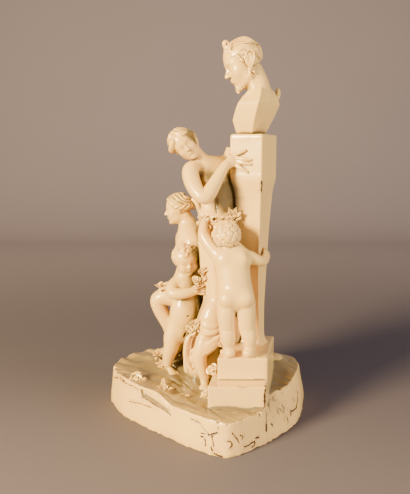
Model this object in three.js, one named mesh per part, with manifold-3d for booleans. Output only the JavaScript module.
// Cream-glazed earthenware group: two women and two children gather about a herm, a tapering
// pillar that carries a bust. All of it but the bust was luted together and fired as one body,
// on a thick slab of modelled ground. The bust stands on the pillar with an open joint.
// Millimetres, +Z up. The origin is on the underside, at the middle of the slab's outline.
// -Y is the side seen in the principal view, and +X is to the right of it.
import * as THREE from 'three';
import { mergeGeometries, mergeVertices } from 'three/addons/utils/BufferGeometryUtils.js';
import Module from 'manifold-3d';

const wasm = await Module();
wasm.setup();

// Driving dimensions
const slabWidth = 280;
const slabDepth = 238;
const pillarTop = 377;
const pillarTurn = -25; // degrees about +Z
const bustTurn = -35;
const jointGap = 0.3; // open joint between the pillar and the bust
const adultHead = 43; // chin to crown
const childHead = 41;
const bustHead = 62;
const mergeTolerance = 0.15; // slivers under this go when the shapes are joined
const glazeColour = 0xe6d6b2;

const V = (x, y, z) => new THREE.Vector3(x, y, z);
const worldUp = V(0, 0, 1);

// Joining of closed shapes

function solid(geometry) {
  const bare = geometry.index ? geometry.clone() : geometry;
  for (const name of Object.keys(bare.attributes)) if (name !== 'position') bare.deleteAttribute(name);
  const merged = mergeVertices(bare, 1e-4);
  return new wasm.Manifold(new wasm.Mesh({
    numProp: 3,
    vertProperties: new Float32Array(merged.attributes.position.array),
    triVerts: new Uint32Array(merged.index.array),
  }));
}

const union = (...shapes) => shapes.flat(Infinity).reduce((whole, shape) => whole.add(shape));

function meshOf(name, shape) {
  const { vertProperties, triVerts } = shape.asOriginal().simplify(mergeTolerance).getMesh();
  const geometry = new THREE.BufferGeometry();
  geometry.setAttribute('position', new THREE.BufferAttribute(new Float32Array(vertProperties), 3));
  geometry.setIndex(new THREE.BufferAttribute(new Uint32Array(triVerts), 1));
  geometry.computeVertexNormals();
  const material = new THREE.MeshStandardMaterial({ color: glazeColour, roughness: 0.25, metalness: 0 });
  const mesh = new THREE.Mesh(geometry, material);
  mesh.name = name;
  return mesh;
}

// Basic forms

// A closed skin through rings of equal count. Its ends close on the two poles.
function skin(rings, firstPole, lastPole) {
  const count = rings[0].length;
  const points = [...rings.flat(), firstPole, lastPole];
  const first = rings.length * count;
  const index = [];
  for (let j = 0; j < count; j += 1) {
    const k = (j + 1) % count;
    index.push(first, k, j);
    for (let i = 0; i < rings.length - 1; i += 1) {
      const low = i * count;
      const high = low + count;
      index.push(low + j, low + k, high + k, low + j, high + k, high + j);
    }
    const last = first - count;
    index.push(first + 1, last + j, last + k);
  }
  const geometry = new THREE.BufferGeometry();
  geometry.setAttribute('position', new THREE.Float32BufferAttribute(points.flatMap((p) => p.toArray()), 3));
  geometry.setIndex(index);
  return solid(geometry);
}

// A limb or trunk through stations [x, y, z, half width, half depth]. Widths lie along `across`,
// and `swell(angle, station)` may scale the radius, for folds. Ends bulge by `dome` radii.
function limb(stations, { across = V(1, 0, 0), sides = 7, dome = 0.5, swell = () => 1 } = {}) {
  const centres = stations.map(([x, y, z]) => V(x, y, z));
  const last = centres.length - 1;
  const along = centres.map((_, i) => centres[Math.min(i + 1, last)].clone()
    .sub(centres[Math.max(i - 1, 0)]).normalize());
  const rings = stations.map(([, , , wide, deep = wide], i) => {
    const v = along[i].clone().cross(across).normalize();
    const u = v.clone().cross(along[i]);
    return Array.from({ length: sides }, (_, j) => {
      const angle = (2 * Math.PI * (j + 0.5)) / sides;
      const scale = swell(angle, i);
      return centres[i].clone()
        .addScaledVector(u, wide * scale * Math.cos(angle))
        .addScaledVector(v, deep * scale * Math.sin(angle));
    });
  });
  const pole = (i, sign) => centres[i].clone()
    .addScaledVector(along[i], sign * dome * Math.min(...stations[i].slice(3)));
  return skin(rings, pole(0, -1), pole(last, 1));
}

// A set of axes: x to the side, y forward, z up, with its origin at `at`.
function axes(at, forward, up) {
  const y = forward.clone().normalize();
  const x = y.clone().cross(up).normalize();
  return new THREE.Matrix4().makeBasis(x, y, x.clone().cross(y)).setPosition(at);
}

function ball(place, centre, radii, columns = 8, rows = 6) {
  const geometry = new THREE.SphereGeometry(1, columns, rows);
  geometry.rotateX(Math.PI / 2).scale(...radii).translate(...centre).applyMatrix4(place);
  return solid(geometry);
}

const here = new THREE.Matrix4();

// Heads

// Slices of the bare head, in head heights: height, half width, reach forward, reach back.
const headSlices = [
  [-0.48, 0.1, 0.29, -0.08], [-0.4, 0.2, 0.34, -0.01], [-0.24, 0.275, 0.35, 0.14],
  [-0.04, 0.33, 0.335, 0.32], [0.18, 0.36, 0.36, 0.42], [0.36, 0.31, 0.28, 0.37],
];

function bareHead(place, size, { sides = 8, eared = false } = {}) {
  const at = (x, y, z) => V(x * size, y * size, z * size).applyMatrix4(place);
  const rings = headSlices.map(([z, wide, front, back]) => Array.from({ length: sides }, (_, j) => {
    const angle = (2 * Math.PI * j) / sides;
    const forward = Math.sin(angle);
    return at(wide * Math.cos(angle), (front - back) / 2 + ((front + back) / 2) * forward, z);
  }));
  const face = skin(rings, at(0, 0.1, -0.5), at(0, -0.05, 0.5));
  const noseLength = 0.17;
  const nose = limb([0, 0.5, 1].map((t) => {
    const p = at(0, 0.33 + 0.075 * t, 0.06 - noseLength * t);
    return [p.x, p.y, p.z, size * (0.022 + 0.03 * t)];
  }), { across: V(1, 0, 0).transformDirection(place), sides: 4 });
  const ears = [-1, 1].map((side) => ball(place, [side * 0.34 * size, -0.02 * size, -0.03 * size],
    [0.045 * size, 0.07 * size, 0.11 * size], 5, 3));
  return eared ? union(face, nose, ears) : face.add(nose);
}

// The mass of hair over the skull: rings from the nape to the crown, with every other vertex
// pushed out, so that the locks stand up as lumps and the furrows run between them.
function hairCap(place, size, { lobes, rise, back, radii, depth }) {
  const levels = [-58, -26, 6, 34, 60];
  const rings = levels.map((degrees, i) => Array.from({ length: 2 * lobes }, (_, j) => {
    const level = THREE.MathUtils.degToRad(degrees);
    const angle = (Math.PI * (j + 0.5)) / lobes;
    const lump = 1 + ((i + j) % 2 ? depth : -depth);
    return V(
      radii[0] * lump * Math.cos(level) * Math.cos(angle),
      radii[1] * lump * Math.cos(level) * Math.sin(angle) - back,
      radii[2] * lump * Math.sin(level) + rise,
    ).multiplyScalar(size).applyMatrix4(place);
  }));
  const pole = (sign) => V(0, -back, rise + sign * radii[2] * 0.95).multiplyScalar(size).applyMatrix4(place);
  return skin(rings, pole(-1), pole(1));
}

// Shares of a head's height
const wavyHair = { lobes: 6, rise: 0.13, back: 0.11, radii: [0.385, 0.43, 0.41], depth: 0.05 };
const curls = { lobes: 6, rise: 0.13, back: 0.09, radii: [0.41, 0.44, 0.42], depth: 0.09 };
const bustHair = { lobes: 8, rise: 0.13, back: 0.12, radii: [0.385, 0.44, 0.41], depth: 0.06 };

// Hands and feet

function hand(wrist, palm, tips, radius, thickness) {
  const span = palm.clone().sub(wrist).normalize();
  const spread = tips[tips.length - 1].clone().sub(tips[0]).normalize();
  const knuckles = palm.clone().addScaledVector(span, radius * 0.5);
  const back = limb([[...wrist, radius * 0.75, thickness], [...palm, radius, thickness],
    [...knuckles, radius * 0.9, thickness * 0.8]], { across: spread, sides: 6 });
  const middle = (tips.length - 1) / 2;
  const fingers = tips.map((tip, i) => {
    const root = palm.clone().addScaledVector(spread, ((i - middle) / middle) * radius * 0.75);
    return limb([[...root, thickness * 0.8], [...tip, thickness * 0.6]], { across: spread, sides: 4 });
  });
  return union(back, fingers);
}

function foot(heel, toe, wide, high) {
  const middle = heel.clone().lerp(toe, 0.5);
  const across = toe.clone().sub(heel).cross(worldUp);
  return limb([[...heel, wide * 0.75, high], [...middle, wide * 0.85, high * 0.95], [...toe, wide,
    high * 0.5]],
    { across, sides: 6, dome: 0.7 });
}

// Flowers and leaves

function rose(at, radius, lean = worldUp) {
  const place = axes(at, V(lean.z, 0.2, -lean.x), lean);
  const layers = [[0.75, 0.6, -0.45], [1, 0.7, 0.15], [0.5, 0.6, 0.5]];
  const rings = layers.map(([petal, furrow, rise]) => Array.from({ length: 8 }, (_, j) => {
    const angle = (Math.PI * j) / 4;
    const reach = radius * (j % 2 ? furrow : petal);
    return V(reach * Math.cos(angle), reach * Math.sin(angle), radius * rise).applyMatrix4(place);
  }));
  return skin(rings, V(0, 0, -radius * 0.6).applyMatrix4(place), V(0, 0, radius * 0.65).applyMatrix4(place));
}

function leaf(root, tip, width) {
  const middle = root.clone().lerp(tip, 0.45).add(V(0, 0, width * 0.35));
  return limb([[...root, width * 0.3, width * 0.2], [...middle, width * 0.5, width * 0.22],
    [...tip, width * 0.12]], { across: tip.clone().sub(root).cross(worldUp), sides: 4 });
}

// The slab of ground, a broad wedge with its point to the front

// Anchors round the foot of the wall: x, y, how far the rim lies inside it, height of the rim
const slabRim = [
  [23, -119, 4, 41], [50, -100.5, 5, 40], [74.5, -78, 4, 39.5], [92, -60, 15, 41], [105.5, -45, 18, 43],
  [123, -13, 17, 47], [136, 36, 14, 50], [140, 70, 14, 52], [125, 102, 9, 53], [57, 117, 7, 54],
  [-21, 119, 6, 56], [-90, 115, 6, 56], [-127, 95, 6, 54], [-140, 58, 5, 50], [-134, 33, 5, 49],
  [-112, -7, 5, 51], [-75, -45, 5, 51], [-41, -78, 6, 42], [-10, -104, 5, 40],
];
// Heights of the open ground inside the rim: x, y, z
const groundMarks = [[-5, -40, 42], [-50, -20, 46], [-80, 30, 49], [90, -5, 42], [97, 67, 62], [20, 90, 64],
  [-70, 80, 58]];
const seatMound = { x: -26, y: 92, height: 30, spread: 34 };

function groundHeight(x, y) {
  const marks = [...slabRim.map(([a, b, , z]) => [a * 0.94, b * 0.94, z]), ...groundMarks];
  let total = 0;
  let sum = 0;
  for (const [a, b, z] of marks) {
    const weight = 1 / (60 + (x - a) ** 2 + (y - b) ** 2) ** 1.5;
    total += weight * z;
    sum += weight;
  }
  const distance = Math.hypot(x - seatMound.x, y - seatMound.y) / seatMound.spread;
  const ripple = 1.2 * Math.sin(x * 0.13 + y * 0.05) * Math.cos(y * 0.09 - x * 0.03);
  return total / sum + seatMound.height * Math.exp(-distance * distance) + ripple;
}

function slab(points = 30) {
  const curve = new THREE.CatmullRomCurve3(slabRim.map(([x, y]) => V(x, y, 0)), true, 'centripetal');
  const insets = new THREE.CatmullRomCurve3(slabRim.map(([, , inset], i) => V(i * 10, inset, 0)), false);
  const count = slabRim.length;
  const raw = Array.from({ length: points }, (_, i) => curve.getPoint(i / points));
  const inset = raw.map((_, i) => insets.getPoint(Math.min(1, (i / points) * (count / (count - 1)))).y);
  const box = new THREE.Box3().setFromPoints(raw);
  const size = box.getSize(V());
  const middle = box.getCenter(V());
  const outline = raw.map((p) => V(((p.x - middle.x) * slabWidth) / size.x, ((p.y - middle.y) * slabDepth) / size.y, 0));
  const ring = (share, toRim, height) => outline.map((p, i) => {
    const reach = p.length();
    const scale = share * (1 - (inset[i] * toRim) / reach);
    const x = p.x * scale;
    const y = p.y * scale;
    return V(x, y, height(x, y));
  });
  const rings = [
    ring(1, 0, () => 0), ring(1, 0.1, () => 14), ring(1, 0.85, (x, y) => groundHeight(x, y) - 4),
    ring(0.97, 1, groundHeight), ...[0.76, 0.52, 0.26].map((share) => ring(share, 1, groundHeight)),
  ];
  return skin(rings, V(0, 0, 0), V(0, 0, groundHeight(0, 0)));
}

// The two steps and the tapering pillar with its heavier head

function turned(x, y, degrees) {
  return here.clone().makeRotationZ(THREE.MathUtils.degToRad(degrees)).setPosition(x, y, 0);
}

// Plan corners of the steps, from the front left round to the back left
const lowerStep = { corners: [[-1, -72], [71, -72.5], [93.5, 45], [20, 57]], foot: 12, top: 69 };
const upperStep = { corners: [[11.5, -49], [74.6, -49.5], [92.8, 44.5], [30, 56]], foot: 12, top: 98 };

function stepBlock({ corners, foot, top }) {
  return stack([foot, top].map((z) => corners.map(([x, y]) => V(x, y, z))));
}

// Sections of the pillar: height, x, half width, half depth. The top is a heavier block.
const pillarY = 15;
const pillarSections = [
  [92, 62, 18, 15.5], [100, 62, 15.4, 12], [106, 61.6, 13.5, 9.7], [129, 60.2, 13.8, 9.6],
    [157, 59.3, 14.5, 11],
  [192, 58.8, 15.4, 14.2], [246, 59.1, 16.8, 18.2], [306, 60.2, 18.4, 23.4], [313, 60, 19.3, 25.2],
  [322, 59.5, 21.8, 28.2], [374, 59.4, 22, 28.5], [pillarTop, 59.4, 20.8, 27.3],
];
// A level rectangle of half sides a and b with cut corners, turned by `turn` degrees
function slice(z, x, y, a, b, turn, cut = 2) {
  const corners = [
    [a, -b + cut], [a, b - cut], [a - cut, b], [-a + cut, b], [-a, b - cut], [-a, -b + cut], [-a + cut, -b],
    [a - cut, -b],
  ];
  const place = turned(x, y, turn);
  return corners.map(([u, v]) => V(u, v, z).applyMatrix4(place));
}

function stack(slices) {
  const middle = (ring) => ring.reduce((sum, p) => sum.add(p), V(0, 0, 0)).divideScalar(ring.length);
  return skin(slices, middle(slices[0]), middle(slices[slices.length - 1]));
}

function pillar() {
  return stack(pillarSections.map(([z, x, a, b]) => slice(z, x, pillarY, a, b, pillarTurn)));
}

// The bust: cut square at the shoulders, narrowing to its foot, the head bent forward

// Sections of the block: rise, x, y, half thickness, half breadth
const bustSections = [
  [0, 55.6, 14.4, 12, 17.8], [17, 57.4, 13.2, 16.4, 23.4], [31, 62.5, 9.7, 16, 26.7],
    [38, 65, 7.9, 15.3, 27.6],
  [46, 66.3, 7, 13.2, 22.5], [54, 67.4, 6.3, 9.6, 16.5], [58, 67.6, 6.2, 6, 11],
];
const bustHeadAt = V(44.4, 12, 465.5);
const bustFace = V(-0.9, -0.16, -0.36);
const bustUp = V(-0.34, 0, 0.94);

function bust() {
  const block = stack(bustSections.map(([rise, x, y, a, b]) => slice(pillarTop + jointGap + rise, x, y, a, b,
    bustTurn)));
  const neck = limb([[67, 8, 418, 15, 12], [66, 9, 428, 16, 14], [62.5, 10.5, 440, 14.5, 14.5],
    [56, 11.5, 454, 14, 14.5]],
    { across: V(0.3, 0.95, 0), sides: 9 });
  const place = axes(bustHeadAt, bustFace, bustUp);
  const stub = limb([[28, 10, 479, 5], [21, 7.5, 490, 3]], { sides: 5 });
  const knot = limb([[83, 27, 410, 4.6], [88, 30, 420, 3.4], [91, 32, 428, 4], [91.5, 33, 435, 3]],
    { sides: 6 });
  return union(block, neck, bareHead(place, bustHead, { sides: 12, eared: true }), hairCap(place, bustHead,
    bustHair), stub, knot);
}

// The woman who stands in front of the pillar and leans on it with both hands

function standingWoman() {
  const place = axes(V(-31, 4, 364), V(0.12, -0.95, -0.12), V(-0.66, -0.1, 0.75));
  const trunk = limb([
    [11, 20, 256, 25, 19], [11, 19, 273, 24, 17.5], [11, 18, 287, 23.4, 16], [8, 17, 303, 24.5, 17],
    [3, 15, 318, 26, 17], [-2, 14, 331, 21, 12.5], [-7, 12, 342, 10, 9],
  ], { across: V(0.9, 0.38, 0.2), sides: 8 });
  const breasts = [[-1, 0, 316], [15, 4.5, 319]].map((at) => ball(here, at, [10.5, 10, 9.8], 6, 4));
  const neck = limb([[-4, 13, 339, 9.6], [-10, 10, 347, 8.6], [-18, 7, 356, 8.6]], { sides: 6 });
  const nearArm = limb([[-23, -3, 331, 10.5], [-22, -11, 319, 10], [-10, -25, 300, 9], [4, -21, 310, 9],
    [22, -10, 338, 6]], { across: V(0.5, 0.4, 0.6), sides: 6 });
  const nearHand = hand(V(22, -10, 338), V(32, -6.5, 344),
    [V(45.5, -6, 355.5), V(51, -8.5, 347.5), V(51, -8.5, 341), V(47, -6.5, 330)], 8.6, 4);
  const farArm = limb([[6, 22, 338, 9], [16, 28, 341, 9], [24, 31, 344, 8.2], [28, 25, 350, 6.8],
    [26, 18, 353, 5]],
    { across: V(0.4, -0.4, 0.8), sides: 6 });
  const farHand = hand(V(26, 18, 353), V(25.5, 12, 354), [V(28.5, 3, 358), V(29, 2, 353.5),
    V(28.5, 3, 348.5)], 6, 3.4);
  const pleats = 6;
  const skirt = limb([
    [12, 20, 270, 25, 19], [12.5, 20, 245, 25.5, 22], [12, 18, 190, 21.5, 25], [6, 16, 140, 20, 26],
    [-4, 18, 100, 25, 24], [-4, 26, 48, 27, 21],
  ], {
    across: V(0.99, 0.1, 0),
    sides: 16,
    dome: 0.1,
    swell: (angle, i) => 1 + 0.012 * i * Math.cos(pleats * angle + 0.5 * i),
  });
  const sweep = limb([[19, -6, 118, 9, 4], [8, -12.5, 112, 11, 4.5], [-5, -14, 104, 12, 4.5],
    [-17, -10, 92, 10, 4], [-24, -6, 82, 6, 3]],
    { across: V(0, 0.2, 1), sides: 6 });
  const fall = limb([[-16, -3, 118, 5], [-25, -5, 110, 6], [-28.5, -6, 98, 6], [-29, -5, 84, 5.5],
    [-23, -8, 69, 3]],
    { across: V(0.6, 0.8, 0), sides: 6 });
  const sash = limb([[-16, 22, 272, 7, 4], [-15, 9, 271, 8, 4], [-5, 0, 268, 8, 4], [9, -3.5, 266, 8, 4],
    [24, 0, 268, 8, 4],
    [34, 11, 272, 6, 4], [35, 24, 273, 5, 4]], { across: V(0, 0.3, 1), sides: 6 });
  const ribbon = limb([[26, -3, 268, 5], [30, -6.5, 240, 5.5], [31, -6, 206, 4.5], [30, -5, 184, 3.5]],
    { sides: 5 });
  const nearLeg = limb([[-4, -5, 118, 11.5], [-9, -8, 97, 10.5], [-11, -9, 84, 9.8], [-8.5, -8, 70, 8.4],
    [-4.5, -5, 50, 6.4]],
    { sides: 6 });
  const bun = ball(place, [0.02 * adultHead, -0.5 * adultHead, 0.2 * adultHead], [8, 8, 8], 6, 5);
  return union(trunk, breasts, neck, nearArm, nearHand, farArm, farHand, skirt, sweep, fall, sash, ribbon,
    nearLeg,
    foot(V(-4.5, -3, 48), V(-5, -17, 45), 6.8, 6.5), bareHead(place, adultHead), hairCap(place, adultHead,
      wavyHair), bun);
}

// The woman seated on the mound, turned to the left, with one knee raised

function seatedWoman() {
  const place = axes(V(-40.5, 68, 276), V(-1, -0.03, -0.1), V(-0.1, 0, 1));
  const trunk = limb([
    [-13, 74, 130, 29, 23], [-16, 72, 152, 25, 20], [-20, 71, 174, 21.5, 17], [-24, 70, 200, 23.5, 18],
    [-27, 69, 222, 25, 18], [-28, 68, 238, 22, 14.5], [-30, 68, 249, 12, 11.5],
  ], { across: V(0.42, 0.9, 0), sides: 8 });
  const breasts = [[-39, 59, 217], [-46, 77, 217]].map((at) => ball(here, at, [10, 10, 9.6], 6, 4));
  const neck = limb([[-31, 68, 244, 10.8], [-33, 68, 256, 9.6], [-36, 68, 266, 9.6]], { sides: 6 });
  const nearArm = limb([[-26, 52, 240, 8.4], [-24, 46, 232, 10], [-23, 42, 214, 9.4], [-24, 43, 196, 8.2],
    [-38, 50, 178, 7.6],
    [-53, 57, 169, 5.2]], { across: V(0, 1, 0), sides: 6 });
  const nearHand = hand(V(-53, 57, 169), V(-59, 60, 166), [V(-67, 57, 161), V(-69, 61, 161),
    V(-68, 66, 161)], 6.8, 3.8);
  const farArm = limb([[-40, 85, 239, 8], [-44, 90, 231, 9.4], [-45, 95, 214, 9], [-46, 96, 197, 8],
    [-56, 89, 180, 7],
    [-62, 80, 168, 5.2]], { across: V(0, 1, 0), sides: 6 });
  const nearLeg = limb([[-16, 68, 138, 18], [-38, 67, 147, 16], [-57, 67, 150, 13.6], [-70.5, 68, 145, 12],
    [-69, 68, 132, 11],
    [-57, 69, 106, 10], [-45, 70, 74, 6.8], [-42, 70, 62, 6.6]], { across: V(0, 1, 0), sides: 6 });
  const farLeg = limb([[-14, 84, 134, 18], [-36, 90, 118, 15.5], [-56, 94, 100, 12], [-46, 98, 84, 10.4],
    [-26, 100, 66, 8]],
    { across: V(0, 1, 0), sides: 6 });
  const cloth = limb([
    [-12, 75, 160, 24, 19], [-10, 77, 138, 29, 24], [-9, 79, 106, 35, 28], [-8, 82, 56, 39, 29],
  ], {
    across: V(0.99, 0.1, 0),
    sides: 14,
    dome: 0.1,
    swell: (angle, i) => 1 + (0.02 + 0.02 * i) * Math.cos(5 * angle + 0.4 * i),
  });
  const lap = limb([[8, 57, 148, 8], [-16, 50, 146, 8], [-40, 52, 130, 7], [-50, 61, 96, 5]], { sides: 6 });
  const bun = ball(place, [0, -0.52 * adultHead, 0.06 * adultHead], [6.5, 7, 7.5], 6, 5);
  const lock = limb([[-21, 57, 287, 3.6], [-16, 56, 284, 4.2], [-12, 56, 276, 4.2], [-13, 57, 268, 3]],
    { sides: 5 });
  return union(trunk, breasts, neck, nearArm, nearHand, farArm, nearLeg, farLeg, cloth, lap,
    foot(V(-40, 70, 60), V(-56, 67, 55), 6.5, 6), bareHead(place, adultHead),
    hairCap(place, adultHead, wavyHair), bun, lock);
}

// The child on the upper step, seen from behind, one arm up and one round the pillar

function climbingChild() {
  const size = childHead * 1.03;
  const place = axes(V(22.4, -20, 253), V(-0.4, 0.85, 0.25), V(-0.08, -0.25, 0.96));
  const trunk = limb([
    [35, -34, 156, 18, 14], [35, -35, 172, 22.5, 18], [34, -33, 188, 21, 17], [32, -30, 203, 21, 17],
    [30, -27, 219, 22.5, 15.5], [28.5, -25, 230, 18.5, 12.5], [26.5, -23, 238, 10, 9],
  ], { sides: 8 });
  const seat = [24, 46].map((x) => ball(here, [x, -43, 172], [12.8, 13, 13.6], 6, 4));
  const neck = limb([[27.5, -24, 230, 11], [24.5, -21, 241, 10.5]], { sides: 6 });
  const nearLeg = limb([[24, -37, 166, 13.6], [23.6, -40, 150, 12.4], [24.5, -41, 135, 10],
    [25.2, -43, 119, 9.8],
    [25.4, -43, 104, 8]], { sides: 6 });
  const farLeg = limb([[46.5, -37, 166, 13.6], [48.5, -39, 150, 12.4], [50.5, -40, 135, 10],
    [52, -43, 119, 9.6],
    [52.5, -43, 104, 8]], { sides: 6 });
  const upArm = limb([[14, -26, 224, 10], [0, -20, 238, 9.4], [-7.5, -15, 251, 8.2], [-8.2, -11, 262, 7],
    [-7, -8, 270, 5.4]],
    { across: V(0.4, 0.9, 0), sides: 5 });
  const roundArm = limb([[44, -25, 222, 10], [54, -21, 219, 8.6], [63, -19, 216, 7.8], [71, -13, 216, 7.2],
    [75.5, -4, 220, 5.8]],
    { across: V(0, 0.3, 1), sides: 5 });
  return union(trunk, seat, neck, nearLeg, farLeg, upArm, roundArm,
    hand(V(-7, -8, 269), V(-6.5, -5, 273), [V(-6, -1, 280), V(-3, -2, 280), V(0, -4, 279)], 5.4, 3.4),
    hand(V(75.5, -4, 220), V(76.5, 0, 223), [V(74, 5, 229.5), V(76.5, 7, 228), V(79, 8, 224)], 5.4, 3.6),
    foot(V(25.2, -44, 101), V(23, -27, 100), 7, 6), foot(V(52.8, -44, 101), V(54.5, -27, 100), 7, 6),
    bareHead(place, size), hairCap(place, size, curls));
}

// The child on the ground with the flowers in both hands

function flowerChild() {
  const size = childHead * 0.92;
  const place = axes(V(-33, 29, 208), V(0.3, -0.93, -0.1), V(-0.1, 0, 1));
  const trunk = limb([
    [-35, 32, 106, 19, 15], [-33.5, 30, 122, 21, 18], [-31, 26, 140, 21, 20], [-29, 27, 156, 19.5, 17],
    [-29.5, 28, 171, 19.5, 14.5], [-30.5, 29, 181, 17, 11.5], [-31, 29, 189, 9, 8.5],
  ], { across: V(0.86, 0.5, 0), sides: 8 });
  const neck = limb([[-31, 29, 184, 9.6], [-31.5, 29, 194, 9.6]], { sides: 6 });
  const nearArm = limb([[-42, 26, 180, 9], [-48, 17, 174.5, 9], [-47, 9, 168.5, 8.6], [-37, 5.5, 168, 7.8],
    [-17, 6.5, 171.5, 5.4]], { across: V(0.5, 0.5, 0.6), sides: 5 });
  const farArm = limb([[-18, 37, 180, 9], [-9, 30, 174, 8.2], [-5, 21, 171, 7.2], [-8, 13, 174, 5.2]],
    { across: V(0.5, 0.5, 0.6), sides: 5 });
  const nearLeg = limb([[-43, 28, 118, 14], [-48, 26, 103, 13.4], [-50, 26, 90, 11.4], [-53.5, 30, 77, 10],
    [-56.5, 34, 60, 7.2]],
    { sides: 6 });
  const farLeg = limb([[-27, 37, 116, 13.8], [-33, 41, 102, 12.8], [-40, 46, 89, 10.4], [-48, 52, 76, 9.8],
    [-54, 57, 60, 7]],
    { sides: 6 });
  return union(trunk, neck, nearArm, farArm, nearLeg, farLeg,
    hand(V(-18, 6.5, 171.5), V(-12, 6.5, 172.5), [V(-5, 5, 176), V(-4, 5, 172), V(-5, 5, 168)], 5.6, 3.6),
    foot(V(-57.5, 37, 54), V(-46, 23, 50), 7, 6.4), foot(V(-55, 58, 58), V(-67, 49, 55), 6.6, 6),
    bareHead(place, size), hairCap(place, size, curls));
}

// Roses and leaves: on the ground, at the sash, in the hands and on the knee

function flowers() {
  const onGround = [[-116, 20, 8], [-106, 24, 6], [-55, -20, 8.5], [-50, -8, 5], [-23, -46, 4.5],
    [-119, 15, 5.5],
    [96, -18, 3.5]].map(([x, y, radius]) => rose(V(x, y, groundHeight(x, y) + radius * 0.35), radius));
  const held = [[-22, -8, 124, 8], [-10, 5, 181, 7.5], [-14, 5, 190, 6.5], [-7, 4, 199, 6.5],
    [-61, 58, 170, 6.5],
    [-68, 62, 168, 5.5], [36, 4, 275, 7], [28, 1, 272, 6.5], [-9, -6, 264, 6], [2, -8, 257, 6],
      [-10, -4, 272, 5.5],
    [7, -20, 72.5, 6]].map(([x, y, z, radius]) => rose(V(x, y, z), radius, V(0, -0.9, 0.45)));
  const leaves = [
    [V(-52, -20, 48), V(-58, -24, 60)], [V(14, -12, 106), V(20, -20, 114)], [V(-62, 58, 168),
      V(-64, 54, 180)],
    [V(-74, 64, 156), V(-66, 58, 172)], [V(-104, 18, 50), V(-111, 12, 56)], [V(-62, 46, 54), V(-76, 37, 56)],
  ].map(([root, tip]) => leaf(root, tip, 7));
  return union(onGround, held, leaves);
}

const group = new THREE.Group();
group.add(meshOf('figure_group', union(slab(), stepBlock(lowerStep), stepBlock(upperStep), pillar(),
  standingWoman(), seatedWoman(), climbingChild(),
  flowerChild(), flowers())));
group.add(meshOf('herm_bust', bust()));

export default group;
